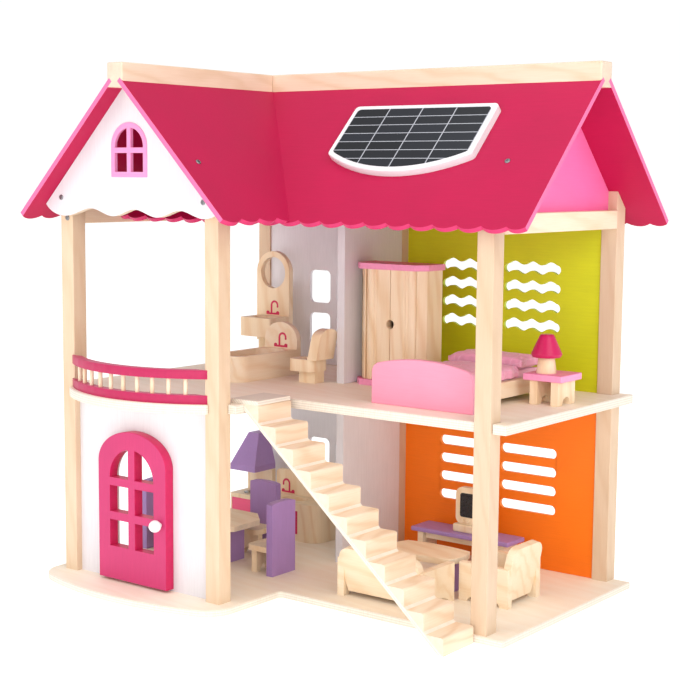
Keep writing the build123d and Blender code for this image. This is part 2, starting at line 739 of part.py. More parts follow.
def tap_outline(width, height):
    """Flat tap: a foot with two knobs and a hooked spout, from the middle of its foot."""
    shape = area((-width / 2, width / 2), (0, 2.4))
    for side in (-1, 1):
        shape += Pos(side * (width / 2 - 2.5), 2.6) * Ellipse(2.6, 2.2)
    hook = Pos(3, height - 6.5) * (Circle(6.5) - Circle(3.9))
    shape += hook & area((-20, 20), (height - 7.5, height + 20))
    shape += area((-3.6, -0.8), (1, height - 6))
    return shape + Pos(8.2, height - 8) * Circle(1.5)


def taps():
    """Three painted taps, let into the boards behind bath, basin and sink."""
    places = [
        (sum(BATH_X) / 2, BATH_Y[1], UP + BATH_H + 1.5, 1),
        (sum(BASIN_BOARD_X) / 2, BASIN_Y[1], BASIN_Z[1] + 1.5, 1),
        (SINK_TAP_X, SINK_Y[1], SINK_H + 1.0, -1),
    ]
    flat = []
    for x, y, z, way in places:
        sketch = tap_outline(*TAP_SIZE)
        if way < 0:
            sketch = mirror(sketch, Plane.YZ)
        flat.append(slab_xz(Pos(x, z) * sketch, (y - 0.3, y + 0.5)))
    return flat


TOILET_Y = (108.0, 142.0)
TOILET_SEAT_X = (-358.0, -320.0)


def toilet():
    middle = sum(TOILET_Y) / 2
    foot = block((-346, -321), (middle - 9, middle + 9), (UP, UP + 14))
    seat = slab_xy(soft_area(TOILET_SEAT_X, TOILET_Y, 8), (UP + 14, UP + 29))
    seat -= slab_xy(Pos(-341, middle) * Ellipse(9, 8), (UP + 20, UP + 30))
    back = outline((-327, UP + 29), (-313, UP + 29), (-305, UP + 67), (-318, UP + 67))
    half = (TOILET_Y[1] - TOILET_Y[0]) / 2
    front = slab_yz(Pos(0, 0) * (arch(TOILET_Y, UP + 20, UP + 57, 10)), (-330, -300))
    board = slab_xz(back, (middle - half, middle + half)) & front
    return [foot, seat, board]


# ------------------------------------------------------------------ bedroom
WARDROBE_X = (-290.0, -186.5)
WARDROBE_Y = (147.0, 195.0)
PLATE_T = 7.0
WARDROBE_TOP = UP + 147.5
CASE_X = (-283.0, -189.0)
CASE_Y = (161.0, 193.0)
CASE_WALL = 6.0
DOORS_Y = (150.0, 160.5)
DOORS_MEET = -234.5
DOOR_EDGES = (-271.0, -198.0)
HANDLE_R = 5.6
HANDLE_Z = UP + 75.5
FLUTE_R = 2.2
FLUTE_SHARES = (0.66, 0.81)      # of the way from the meeting line to the pin
MEETING_GAP = 0.9
WARDROBE_PIN_R = 1.5
WARDROBE_PIN_IN = 5.2


def wardrobe_plates():
    """Pink top and bottom plates with slanting front corners and the doors' pin holes."""
    x, y = WARDROBE_X, WARDROBE_Y
    cut = 13.0
    face = outline((x[0], y[1]), (x[0], y[0] + cut), (x[0] + cut, y[0]), (x[1] - cut, y[0]),
                   (x[1], y[0] + cut), (x[1], y[1]))
    plates = []
    for low in (UP, WARDROBE_TOP - PLATE_T):
        plate = slab_xy(face, (low, low + PLATE_T))
        for pin_x in wardrobe_pin_x():
            rows = (UP + PLATE_T - 4, WARDROBE_TOP - PLATE_T + 4)
            plate -= rod(pin_x, sum(DOORS_Y) / 2, rows, WARDROBE_PIN_R + PIN_PLAY)
        plates.append(plate)
    return plates


def wardrobe_pin_x():
    return DOOR_EDGES[0] + WARDROBE_PIN_IN, DOOR_EDGES[1] - WARDROBE_PIN_IN


def wardrobe_case():
    z = (UP + PLATE_T, WARDROBE_TOP - PLATE_T)
    case = block(CASE_X, CASE_Y, z)
    case -= block((CASE_X[0] + CASE_WALL, CASE_X[1] - CASE_WALL), (CASE_Y[0] - 1, CASE_Y[1] - CASE_WALL),
                  (z[0] - 1, z[1] + 1))
    sides = [case]
    for edge, door in zip(CASE_X, DOOR_EDGES):
        way = 1 if edge < door else -1
        stile = outline((edge, CASE_Y[0]), (door - way * 0.6, CASE_Y[0]), (door - way * 0.6, DOORS_Y[0] + 1),
                        (door - way * 2, DOORS_Y[0] + 1))
        sides.append(slab_xy(stile, z))
    return sides


def wardrobe_door(side):
    """Fluted door, -1 left and +1 right, swinging on pins at its outer edge."""
    outer = DOOR_EDGES[0] if side < 0 else DOOR_EDGES[1]
    x = tuple(sorted((outer, DOORS_MEET + side * MEETING_GAP / 2)))
    z = (UP + PLATE_T + GAP, WARDROBE_TOP - PLATE_T - GAP)
    pin_x = outer - side * WARDROBE_PIN_IN
    pin_y = sum(DOORS_Y) / 2
    inner = tuple(sorted((pin_x, DOORS_MEET + side * MEETING_GAP / 2)))
    face = area(inner, DOORS_Y) + Pos(pin_x, pin_y) * Circle(WARDROBE_PIN_IN)
    door = slab_xy(face, z)
    for share in FLUTE_SHARES:
        flute_x = DOORS_MEET + (pin_x - DOORS_MEET) * share
        door -= rod(flute_x, DOORS_Y[0] - 0.9, (z[0] - 1, z[1] + 1), FLUTE_R)
    hole = Pos(DOORS_MEET, pin_y, HANDLE_Z) * Rot(90, 0, 0) * Cylinder(HANDLE_R, DOORS_Y[1] - DOORS_Y[0] + 2)
    door -= hole
    return door + rod(pin_x, pin_y, (z[0] - 3.5, z[1] + 3.5), WARDROBE_PIN_R)


BED_X = (-168.5, -56.0)
FOOT_X = (-179.0, -46.0)
BED_Y = (38.0, 214.0)
FOOT_T = 8.0
RAIL_Z = (UP + 7.0, UP + 24.5)
RAIL_T = 8.0
QUILT_TOP = UP + 38.0
PILLOW_T = 8.0


def bed_footboard():
    """Board with an arched top edge."""
    side, middle = UP + 44.0, UP + 53.0
    x = FOOT_X
    edges = [
        Line((x[0], UP), (x[1], UP)),
        Line((x[1], UP), (x[1], side)),
        ThreePointArc((x[1], side), ((x[0] + x[1]) / 2, middle), (x[0], side)),
        Line((x[0], side), (x[0], UP)),
    ]
    face = make_face(edges)
    face = fillet(face.vertices().sort_by(Axis.Y)[-2:], 12.0)
    board = slab_xz(face, (BED_Y[0], BED_Y[0] + FOOT_T))
    return chamfer(board.faces().sort_by(Axis.Y)[0].edges(), 0.8)


def bed_frame():
    """Two rails, a slatted bottom as one board and two short back legs."""
    y = (BED_Y[0] + FOOT_T, BED_Y[1])
    rails = [block((BED_X[0] + 3, BED_X[0] + 3 + RAIL_T), y, RAIL_Z)]
    rails.append(block((BED_X[1] - 3 - RAIL_T, BED_X[1] - 3), y, RAIL_Z))
    inner = (BED_X[0] + 3 + RAIL_T, BED_X[1] - 3 - RAIL_T)
    bottom = block(inner, y, (RAIL_Z[0], RAIL_Z[0] + 5))
    legs = [block((x, x + RAIL_T), (y[1] - 12, y[1]), (UP, RAIL_Z[0])) for x in
            (BED_X[0] + 3, BED_X[1] - 3 - RAIL_T)]
    return rails + [bottom] + legs


def bed_quilt():
    """Mattress and quilt as one soft block."""
    inner = (BED_X[0] + 3 + RAIL_T + GAP, BED_X[1] - 3 - RAIL_T - GAP)
    pad = block(inner, (BED_Y[0] + FOOT_T + 0.3, BED_Y[1] - 1), (RAIL_Z[0] + 5, QUILT_TOP))
    return fillet(pad.faces().sort_by(Axis.Z)[-1].edges(), 5.0)


def bed_pillow():
    x = (BED_X[0] + 10, BED_X[1] - 10)
    pillow = block(x, (BED_Y[1] - 46, BED_Y[1] - 6), (QUILT_TOP, QUILT_TOP + PILLOW_T))
    return fillet(pillow.edges(), 3.5)


STAND_X = (-47.0, 1.7)
STAND_Y = (143.0, 190.0)
STAND_Z = (UP + 27.0, UP + 34.5)
LAMP_XY = (-27.5, 161.0)


def nightstand_top():
    return soft_block(STAND_X, STAND_Y, STAND_Z, 1.0)


def nightstand_legs():
    """Two side panels, each with a round notch in its foot, joined by a shelf."""
    panels = []
    y = (STAND_Y[0] + 3, STAND_Y[1] - 6)
    for x in ((-39.7, -30.0), (-13.0, -3.4)):
        side = area(y, (UP, STAND_Z[0])) - Pos(sum(y) / 2, UP) * Circle(9)
        panels.append(slab_yz(side, x))
    panels.append(block((-30.0, -13.0), (y[1] - 6, y[1]), (UP + 8, STAND_Z[0])))
    return panels


def lamp_base():
    return Pos(*LAMP_XY, STAND_Z[1] + 8.5) * Cone(11.4, 9.2, 17.0)


def lamp_shade():
    profile = outline((0, 15.5), (15.8, 15.5), (17.4, 19.0), (8.2, 39.4), (6.8, 40.8), (0, 40.8))
    shade = revolve(Plane.XZ * profile, Axis.Z)
    return Pos(*LAMP_XY, STAND_Z[1] + 2.5) * shade


# ------------------------------------------------------------------ kitchen
STOVE_X = (-533.0, -489.5)
STOVE_Y = (200.0, 236.0)
STOVE_H = 46.0
STOVE_BOARD = (236.0, 243.0)
HOOD_Z = (78.0, 85.5, 127.0)
OVEN_X = (STOVE_X[0] + 3, STOVE_X[1] - 3)
OVEN_Z = (6.0, 40.0)
OVEN_T = 4.0
KITCHEN_PIN_R = 1.2
SINK_X = (-476.0, -374.0)
SINK_Y = (188.0, 230.0)
SINK_H = 50.0
SINK_TAP_X = -456.0
SINK_DOOR_X = (-444.0, -406.0)
SINK_DOOR_Z = (9.0, 40.0)
SINK_BOWL_X = -428.0


def stove_body():
    box = soften(block(STOVE_X, STOVE_Y, (0, STOVE_H)), 1.5)
    room = (OVEN_X[0] + 3, OVEN_X[1] - 3), (STOVE_Y[0] - 1, STOVE_Y[1] - 6), (OVEN_Z[0] + 4, OVEN_Z[1] - 3)
    box -= block(*room)
    box -= oven_recess()
    centre = ((STOVE_X[0] + STOVE_X[1]) / 2, sum(STOVE_Y) / 2)
    box -= rod(*centre, (STOVE_H - 1.0, STOVE_H + 1), 10.0)
    for x in OVEN_X:
        box -= bar_x((x - 3, x + 3), *oven_axis(), KITCHEN_PIN_R + PIN_PLAY)
    board = slab_xz(area(STOVE_X, (0, HOOD_Z[0])), STOVE_BOARD)
    return [box, board]


def oven_axis():
    return STOVE_Y[0] + OVEN_T / 2, OVEN_Z[0] + OVEN_T / 2


def oven_recess():
    x = (OVEN_X[0] - GAP, OVEN_X[1] + GAP)
    return block(x, (STOVE_Y[0] - 1, STOVE_Y[0] + OVEN_T + GAP), (OVEN_Z[0] - GAP, OVEN_Z[1] + GAP))


def oven_door():
    """Flap on two pins along its lower edge."""
    y, z = oven_axis()
    face = area((STOVE_Y[0], STOVE_Y[0] + OVEN_T), (z, OVEN_Z[1]))
    face += Pos(y, z) * Circle(OVEN_T / 2)
    door = slab_yz(face, OVEN_X)
    return door + bar_x((OVEN_X[0] - 2.5, OVEN_X[1] + 2.5), y, z, KITCHEN_PIN_R)


def stove_burner():
    centre = ((STOVE_X[0] + STOVE_X[1]) / 2, sum(STOVE_Y) / 2)
    return rod(*centre, (STOVE_H - 1.0, STOVE_H + 0.6), 9.8)


def stove_hood():
    x, y = STOVE_X, (STOVE_Y[0], STOVE_BOARD[1])
    brim = block(x, y, (HOOD_Z[0], HOOD_Z[1]))
    middle = sum(x) / 2
    low = Pos(middle, sum(y) / 2, HOOD_Z[1]) * Rectangle(x[1] - x[0], y[1] - y[0])
    high = Pos(middle, y[1] - 10, HOOD_Z[2]) * Rectangle(18, 20)
    return brim + loft([low, high])


def sink_cabinet():
    """Counter with rounded front corners, a bowl, a backboard and a recess for its door."""
    wide = soft_area((SINK_X[0], SINK_X[1]), (SINK_Y[0], SINK_Y[1] + 30), 20)
    plan = wide & area(SINK_X, SINK_Y)
    body = slab_xy(plan, (0, SINK_H))
    body -= slab_xy(Pos(SINK_BOWL_X, 210) * Ellipse(20, 11), (SINK_H - 12, SINK_H + 1))
    body -= block(SINK_DOOR_X, (SINK_Y[0] - 1, SINK_Y[0] + OVEN_T + GAP), SINK_DOOR_Z)
    body -= block((SINK_DOOR_X[0] + 3, SINK_DOOR_X[1] - 3), (SINK_Y[0], SINK_Y[1] - 8),
                  (SINK_DOOR_Z[0] + 3, SINK_H - 16))
    body -= rod(*sink_axis(), (SINK_DOOR_Z[0] - 2.5, SINK_DOOR_Z[1] + 2.5), KITCHEN_PIN_R + PIN_PLAY)
    board = slab_xz(soft_area(SINK_X, (-10, 82), 6) & area(SINK_X, (0, 82)), (SINK_Y[1], SINK_Y[1] + 6))
    return [body, board]


def sink_axis():
    return SINK_DOOR_X[0] + GAP + OVEN_T / 2, SINK_Y[0] + OVEN_T / 2


def sink_door():
    x, y = sink_axis()
    face = area((x, SINK_DOOR_X[1] - GAP), (SINK_Y[0], SINK_Y[0] + OVEN_T)) + Pos(x, y) * Circle(OVEN_T / 2)
    door = slab_xy(face, (SINK_DOOR_Z[0] + GAP, SINK_DOOR_Z[1] - GAP))
    return door + rod(x, y, (SINK_DOOR_Z[0] - 2.0, SINK_DOOR_Z[1] + 2.0), KITCHEN_PIN_R)


TABLE_X = (-485.0, -381.0)
TABLE_Y = (13.0, 108.0)
TABLE_Z = (45.0, 52.0)


def table_top():
    cut = 24.0
    x, y = TABLE_X, TABLE_Y
    face = outline((x[0] + cut, y[0]), (x[1] - cut, y[0]), (x[1], y[0] + cut), (x[1], y[1] - cut),
                   (x[1] - cut, y[1]), (x[0] + cut, y[1]), (x[0], y[1] - cut), (x[0], y[0] + cut))
    top = slab_xy(face, TABLE_Z)
    return fillet(top.faces().sort_by(Axis.Z)[-1].edges(), 1.2)


def table_legs():
    legs = []
    for x in ((-470, -462), (-411, -403)):
        legs.append(block(x, (46, 80), (0, TABLE_Z[0])))
    return legs


CHAIR_BACK = (9.0, 43.0, 89.0)   # thick, wide, high
CHAIR_SEAT = (34.0, 38.0, 27.0, 33.5)


def chair_back():
    """Upright board facing -X, with its face at the origin."""
    thick, wide, high = CHAIR_BACK
    face = arch((-wide / 2, wide / 2), 0, high - 3, 3)
    face = fillet(face.vertices().sort_by(Axis.Y)[-2:], 4.0)
    return slab_yz(face, (0, thick))


def chair_seat():
    depth, wide, low, high = CHAIR_SEAT
    seat = slab_xy(soft_area((-depth, 8), (-wide / 2, wide / 2), 7) & area((-depth, 0), (-wide, wide)),
                   (low, high))
    legs = area((-wide / 2 + 3, wide / 2 - 3), (0, low)) - Circle(9)
    return [seat, slab_yz(legs, (-depth + 6, -depth + 14))]


CHAIR_PLACES = (
    Pos(-328.5, 56.0, 0),
    Pos(-413.5, 128.0, 0) * Rot(0, 0, 90),
    Pos(-530.0, 58.0, 0) * Rot(0, 0, 180),
)


def chair_backs():
    return [place * chair_back() for place in CHAIR_PLACES]


def chair_seats():
    return [place * piece for place in CHAIR_PLACES for piece in chair_seat()]


# ------------------------------------------------------------------ living room
BENCH_X = (-246.0, -105.0)
BENCH_Y = (216.0, 256.0)
BENCH_Z = (34.5, 40.0)
TV_X = (-190.5, -144.5)
TV_Y = (230.0, 238.0)
SCREEN_INSET = 6.5


def bench_top():
    return soft_block(BENCH_X, BENCH_Y, BENCH_Z, 1.5)


def bench_frame():
    y = (BENCH_Y[0] + 4, BENCH_Y[1] - 4)
    x = (BENCH_X[0] + 8, BENCH_X[1] - 8)
    pieces = [block((x[0] + 8, x[1] - 8), (y[0] + 6, y[0] + 12), (BENCH_Z[0] - 9, BENCH_Z[0]))]
    pieces += [block(side, y, (0, BENCH_Z[0])) for side in ((x[0], x[0] + 8), (x[1] - 8, x[1]))]
    return pieces


def television():
    x = (TV_X[0] + 2, TV_X[1] - 2)
    foot = soft_block(TV_X, (TV_Y[0] - 4, TV_Y[1] + 4), (BENCH_Z[1], BENCH_Z[1] + 10), 2.0)
    frame = slab_xz(soft_area(x, (BENCH_Z[1] + 10, BENCH_Z[1] + 56), 9), TV_Y)
    frame = frame - tv_screen()
    for knob in tv_knobs():
        frame -= knob
    return [foot, frame]


def tv_screen():
    x = (TV_X[0] + 2 + SCREEN_INSET, TV_X[1] - 2 - SCREEN_INSET)
    return slab_xz(soft_area(x, (BENCH_Z[1] + 19, BENCH_Z[1] + 49), 3), (TV_Y[0] - 0.4, TV_Y[0] + 1.0))


def tv_knobs():
    row = BENCH_Z[1] + 14.5
    return [Pos(x, TV_Y[0], row) * Rot(90, 0, 0) * Cylinder(2.2, 5) for x in (-177.5, -170.5)]


def coffee_top():
    """Low table with bowed ends and sides."""
    x, y = (-202.0, -103.0), (88.0, 144.0)
    middle = (sum(x) / 2, sum(y) / 2)
    edges = [
        ThreePointArc((x[0] + 6, y[0] + 5), (middle[0], y[0]), (x[1] - 6, y[0] + 5)),
        ThreePointArc((x[1] - 6, y[0] + 5), (x[1], middle[1]), (x[1] - 6, y[1] - 5)),
        ThreePointArc((x[1] - 6, y[1] - 5), (middle[0], y[1]), (x[0] + 6, y[1] - 5)),
        ThreePointArc((x[0] + 6, y[1] - 5), (x[0], middle[1]), (x[0] + 6, y[0] + 5)),
    ]
    return slab_xy(make_face(edges), (38.0, 45.0))


def coffee_legs():
    return [block(x, (100, 132), (0, 38)) for x in ((-188, -180), (-125, -117))]


ARM_T = 9.0
ARM_H = 44.0
ARM_FOOT = 11.0                  # width of an arm plate's two feet
SEAT_Z = (8.0, 24.0)


def seating(width, height):
    """Sofa or armchair facing +Y: two arm plates, a seat and a back leaning to -Y; front left at 0, 0."""
    depth = 64.0
    arms = []
    for left in (0, width - ARM_T):
        side = area((0, depth), (0, ARM_H)) - arch((ARM_FOOT, depth - ARM_FOOT), -1, 1, 7)
        arms.append(slab_yz(side, (left, left + ARM_T)))
    seat = block((ARM_T, width - ARM_T), (14, depth - 6), SEAT_Z)
    bottom, top = (ARM_T + 3, width - ARM_T - 3), (3.5, width - 3.5)
    panel = outline((bottom[0], 0), (bottom[1], 0), (top[1], 0.62 * height), (top[1], height),
                    (top[0], height), (top[0], 0.62 * height))
    panel = fillet(panel.vertices().sort_by(Axis.Y)[-2:], 13)
    board = Pos(0, 14, 7) * Rot(10, 0, 0) * slab_xz(panel, (-9, 0))
    arms = [arm - board for arm in arms]
    seat -= board
    return [solid for piece in arms + [seat, board] for solid in piece.solids() if solid.volume > 50]


def sofas():
    """Sofa with its back to the front edge and armchair with its back to the right."""
    sofa = [Pos(-216.0, 27.0, 0) * piece for piece in seating(117.0, 52.0)]
    chair = [Pos(-33.0, 97.0, 0) * Rot(0, 0, 90) * piece for piece in seating(71.0, 62.0)]
    return sofa + chair


# ------------------------------------------------------------------ nodes
def house():
    stairs = stair_treads()
    save("base_board", base_board())
    save("upper_floor", upper_floor())
    save("wing_posts", *[screwed(post(name)) for name in ("wing_left", "wing_right")])
    save("main_posts", *[post(name) for name in ("front_right", "rear_left", "rear_middle", "rear_right")])
    save("side_beams", side_beam(-1), side_beam(1))
    save("entrance_wall", front_panel())
    save("window_walls", window_wall("lower"), window_wall("upper"))
    save("bedroom_back_wall", slotted_wall("upper"))
    save("living_back_wall", slotted_wall("lower"))
    save("partitions", partition("lower"), partition("upper"))
    save("wing_gable_panel", screwed(wing_gable()))
    save("attic_window_frame", attic_window())
    save("side_gable_panels", screwed(side_gable(-1) - side_beam(-1)), screwed(side_gable(1)))
    save("main_roof_front", screwed(main_slope(-1)))
    save("main_roof_back", screwed(main_slope(1)))
    save("wing_roof_left", screwed(wing_slope(-1)))
    save("wing_roof_right", screwed(wing_slope(1)))
    save("main_ridge_beam", main_ridge())
    save("wing_ridge_beam", wing_ridge())
    save("solar_board", solar_board())
    save("solar_cells", solar_cells())
    save("balcony_rails", *balcony_rails())
    save("balcony_balusters", *balusters())
    save("front_door", front_door())
    save("door_knob", door_knob())
    save("wall_hinges", *hinge_leaves(True))
    save("door_hinges", *hinge_leaves(False))
    save("stair_treads", *stairs)
    save("stair_stringer", *stair_stringer())
    save("screws", *screws())


def furniture():
    spouts = Compound(children=taps())
    save("bathtub", *[piece - spouts for piece in bathtub()])
    save("washbasin", *[piece - spouts for piece in washbasin()])
    save("taps", *taps())
    save("toilet", *toilet())
    save("wardrobe_case", *wardrobe_case())
    save("wardrobe_plates", *wardrobe_plates())
    save("wardrobe_door_left", wardrobe_door(-1))
    save("wardrobe_door_right", wardrobe_door(1))
    save("bed_frame", *bed_frame())
    save("bed_footboard", bed_footboard())
    save("bed_quilt", bed_quilt())
    save("bed_pillow", bed_pillow())
    save("nightstand_top", nightstand_top())
    save("nightstand_legs", *nightstand_legs())
    save("lamp_base", lamp_base())
    save("lamp_shade", lamp_shade())
    save("stove", *stove_body())
    save("stove_hood", stove_hood())
    save("oven_door", oven_door())
    save("sink_cabinet", *[piece - spouts for piece in sink_cabinet()])
    save("sink_door", sink_door())
    save("table_and_coffee_tops", table_top(), coffee_top())
    save("table_and_coffee_legs", *table_legs(), *coffee_legs())
    save("chair_backs", *chair_backs())
    save("chair_seats", *chair_seats())
    save("bench_top", bench_top())
    save("bench_frame", *bench_frame())
    save("black_parts", tv_screen(), stove_burner())


os.makedirs("parts", exist_ok=True)
house()
furniture()
save("television", *television(), *[knob for knob in tv_knobs()])
save("sofa_and_armchair", *sofas())
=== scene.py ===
import math
import bmesh
import bpy
from mathutils import Matrix, Vector, noise


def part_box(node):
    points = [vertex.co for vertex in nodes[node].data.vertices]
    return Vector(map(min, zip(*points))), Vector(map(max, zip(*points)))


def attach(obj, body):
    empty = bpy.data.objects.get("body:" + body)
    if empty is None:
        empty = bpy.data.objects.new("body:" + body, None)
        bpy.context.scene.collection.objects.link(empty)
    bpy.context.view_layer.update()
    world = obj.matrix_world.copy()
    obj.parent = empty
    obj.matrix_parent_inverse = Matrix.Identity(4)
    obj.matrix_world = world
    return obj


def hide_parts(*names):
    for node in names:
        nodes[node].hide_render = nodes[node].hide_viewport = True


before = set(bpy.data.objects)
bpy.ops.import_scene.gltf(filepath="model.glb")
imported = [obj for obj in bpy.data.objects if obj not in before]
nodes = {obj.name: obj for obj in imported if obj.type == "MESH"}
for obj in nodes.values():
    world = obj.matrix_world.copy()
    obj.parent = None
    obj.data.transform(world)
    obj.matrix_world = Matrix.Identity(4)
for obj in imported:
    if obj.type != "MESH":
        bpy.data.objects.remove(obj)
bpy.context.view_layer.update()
scene = bpy.context.scene


# ------------------------------------------------------------------ shader helpers
def linear(rgb):
    """sRGB 0-255 to linear RGBA."""
    out = []
    for value in rgb:
        c = value / 255
        out.append(c / 12.92 if c <= 0.04045 else ((c + 0.055) / 1.055) ** 2.4)
    return (*out, 1.0)


class Net:
    """Small builder for one material's node tree."""

    def __init__(self, name, slot):
        self.material = bpy.data.materials.new(name)
        self.material.use_nodes = True
        self.tree = self.material.node_tree
        self.shader = self.tree.nodes["Principled BSDF"]
        self.coord = self.add("ShaderNodeTexCoord")
        self.slot = slot

    def add(self, kind, **values):
        node = self.tree.nodes.new(kind)
        for key, value in values.items():
            setattr(node, key, value)
        return node

    def link(self, source, target):
        self.tree.links.new(source, target)

    def feed(self, socket, value):
        if hasattr(value, "is_linked"):
            self.link(value, socket)
        else:
            socket.default_value = value

    def mapped(self, scale, offset=(0, 0, 0), turn=(0, 0, 0)):
        node = self.add("ShaderNodeMapping")
        self.link(self.coord.outputs["Object"], node.inputs["Vector"])
        node.inputs["Scale"].default_value = scale
        node.inputs["Location"].default_value = offset
        node.inputs["Rotation"].default_value = turn
        return node.outputs["Vector"]

    def noise(self, vector, scale, detail=4.0, rough=0.55, warp=0.0):
        node = self.add("ShaderNodeTexNoise")
        self.link(vector, node.inputs["Vector"])
        node.inputs["Scale"].default_value = scale
        node.inputs["Detail"].default_value = detail
        node.inputs["Roughness"].default_value = rough
        node.inputs["Distortion"].default_value = warp
        return node.outputs["Fac"]

    def ramp(self, fac, stops):
        node = self.add("ShaderNodeValToRGB")
        self.link(fac, node.inputs["Fac"])
        elements = node.color_ramp.elements
        while len(elements) < len(stops):
            elements.new(0.5)
        for element, (place, colour) in zip(elements, stops):
            element.position = place
            element.color = colour
        return node.outputs["Color"]

    def math(self, kind, a, b=0.0, c=0.0):
        node = self.add("ShaderNodeMath", operation=kind)
        for socket, value in zip(node.inputs, (a, b, c)):
            self.feed(socket, value)
        return node.outputs[0]

    def mix(self, fac, a, b, blend="MIX"):
        node = self.add("ShaderNodeMix", data_type="RGBA", blend_type=blend)
        self.feed(node.inputs[0], fac)
        self.feed(node.inputs[6], a)
        self.feed(node.inputs[7], b)
        return node.outputs[2]

    def axis(self, which, source="Object"):
        node = self.add("ShaderNodeSeparateXYZ")
        self.link(self.coord.outputs[source], node.inputs[0])
        return node.outputs[which]

    def facing(self, direction, low=0.75, high=0.9):
        """1 on faces that look along a direction, either way, 0 elsewhere."""
        node = self.add("ShaderNodeVectorMath", operation="DOT_PRODUCT")
        self.link(self.coord.outputs["Normal"], node.inputs[0])
        node.inputs[1].default_value = Vector(direction).normalized()
        size = self.math("ABSOLUTE", node.outputs["Value"])
        step = self.add("ShaderNodeMapRange")
        self.link(size, step.inputs["Value"])
        step.inputs["From Min"].default_value = low
        step.inputs["From Max"].default_value = high
        return step.outputs["Result"]

    def bump(self, height, strength, distance=0.0004, before=None):
        node = self.add("ShaderNodeBump")
        self.link(height, node.inputs["Height"])
        node.inputs["Strength"].default_value = strength
        node.inputs["Distance"].default_value = distance
        if before is not None:
            self.link(before, node.inputs["Normal"])
        return node.outputs["Normal"]

    def finish(self, colour, rough, normal=None, coat=0.0, spec=0.5):
        self.feed(self.shader.inputs["Base Color"], colour)
        self.feed(self.shader.inputs["Roughness"], rough)
        self.shader.inputs["Coat Weight"].default_value = coat
        self.shader.inputs["Coat Roughness"].default_value = 0.25
        self.shader.inputs["Specular IOR Level"].default_value = spec
        if normal is not None:
            self.link(normal, self.shader.inputs["Normal"])
        return self


# ------------------------------------------------------------------ woods and paints
GRAIN = {"x": (1.0, 24.0, 24.0), "y": (24.0, 1.0, 24.0), "z": (24.0, 24.0, 1.0)}


def grain_height(net, along, seed=0.0):
    """Fine fibre streaks and broad growth rings, both 0-1."""
    fine = net.noise(net.mapped(GRAIN[along], (seed, seed * 1.7, seed * 0.6)), 34.0, 5.0, 0.65, 0.3)
    rings = net.add("ShaderNodeTexWave", wave_type="BANDS", bands_direction="DIAGONAL")
    stretch = {"x": (0.22, 1.0, 1.0), "y": (1.0, 0.22, 1.0), "z": (1.0, 1.0, 0.22)}[along]
    net.link(net.mapped(stretch, (seed * 0.3, seed * 0.2, seed)), rings.inputs["Vector"])
    rings.inputs["Scale"].default_value = 26.0
    rings.inputs["Distortion"].default_value = 7.0
    rings.inputs["Detail"].default_value = 2.0
    rings.inputs["Detail Scale"].default_value = 1.3
    return fine, rings.outputs["Fac"]


def pine(name, along="z", light=(247, 229, 205), dark=(230, 199, 163), seed=0.0, contrast=1.0, ends=True):
    """Clear-varnished pine: rings, fibre streaks, end grain on the faces across the grain."""
    net = Net(name, "pine")
    fine, rings = grain_height(net, along, seed)
    rings = net.math("POWER", rings, 2.6)
    mixed = net.math("MULTIPLY_ADD", fine, 0.55, net.math("MULTIPLY", rings, 0.38 * contrast))
    base = net.ramp(mixed, [(0.18, linear(light)), (0.52, linear([(a + b) / 2 for a, b in zip(light, dark)])),
                            (0.86, linear(dark))])
    cloud = net.noise(net.mapped((1, 1, 1), (seed, 0, 0)), 9.0, 2.0)
    tint = net.ramp(cloud, [(0.3, (1, 1, 1, 1)), (0.75, (0.94, 0.91, 0.86, 1))])
    base = net.mix(1.0, base, tint, "MULTIPLY")
    colour = base
    if ends:
        direction = {"x": (1, 0, 0), "y": (0, 1, 0), "z": (0, 0, 1)}[along]
        pores = net.noise(net.mapped((1, 1, 1)), 700.0, 3.0)
        arcs = net.noise(net.mapped((1, 1, 1), (seed, 0, 0)), 60.0, 3.0, warp=1.5)
        pores = net.math("MULTIPLY_ADD", arcs, 0.7, net.math("MULTIPLY", pores, 0.3))
        end_tone = net.ramp(pores, [(0.35, linear([c * 0.9 for c in light])),
                                    (0.65, linear([c * 0.97 for c in light]))])
        colour = net.mix(net.facing(direction), base, end_tone)
    rough = net.math("MULTIPLY_ADD", fine, 0.2, 0.42)
    return net.finish(colour, rough, net.bump(fine, 0.18), coat=0.05, spec=0.35)


def plies(net, across, thickness, face, seed=0.0):
    """Edge of plywood: thin light and dark layers across the board."""
    depth = net.add("ShaderNodeVectorMath", operation="DOT_PRODUCT")
    net.link(net.coord.outputs["Object"], depth.inputs[0])
    depth.inputs[1].default_value = Vector(across).normalized()
    layer = net.math("FRACT", net.math("DIVIDE", depth.outputs["Value"], thickness))
    grain = net.noise(net.mapped((60, 60, 4), (seed, 0, 0)), 30.0, 3.0)
    edge = net.ramp(layer, [(0.0, linear([c * 0.97 for c in face])), (0.42, linear([c * 0.95 for c in face])),
                            (0.5, linear([c * 0.88 for c in face])), (0.9, linear([c * 0.9 for c in face])),
                            (0.97, linear([c * 0.97 for c in face]))])
    speck = net.ramp(grain, [(0.4, (1, 1, 1, 1)), (0.7, (0.9, 0.87, 0.83, 1))])
    return net.mix(1.0, edge, speck, "MULTIPLY")


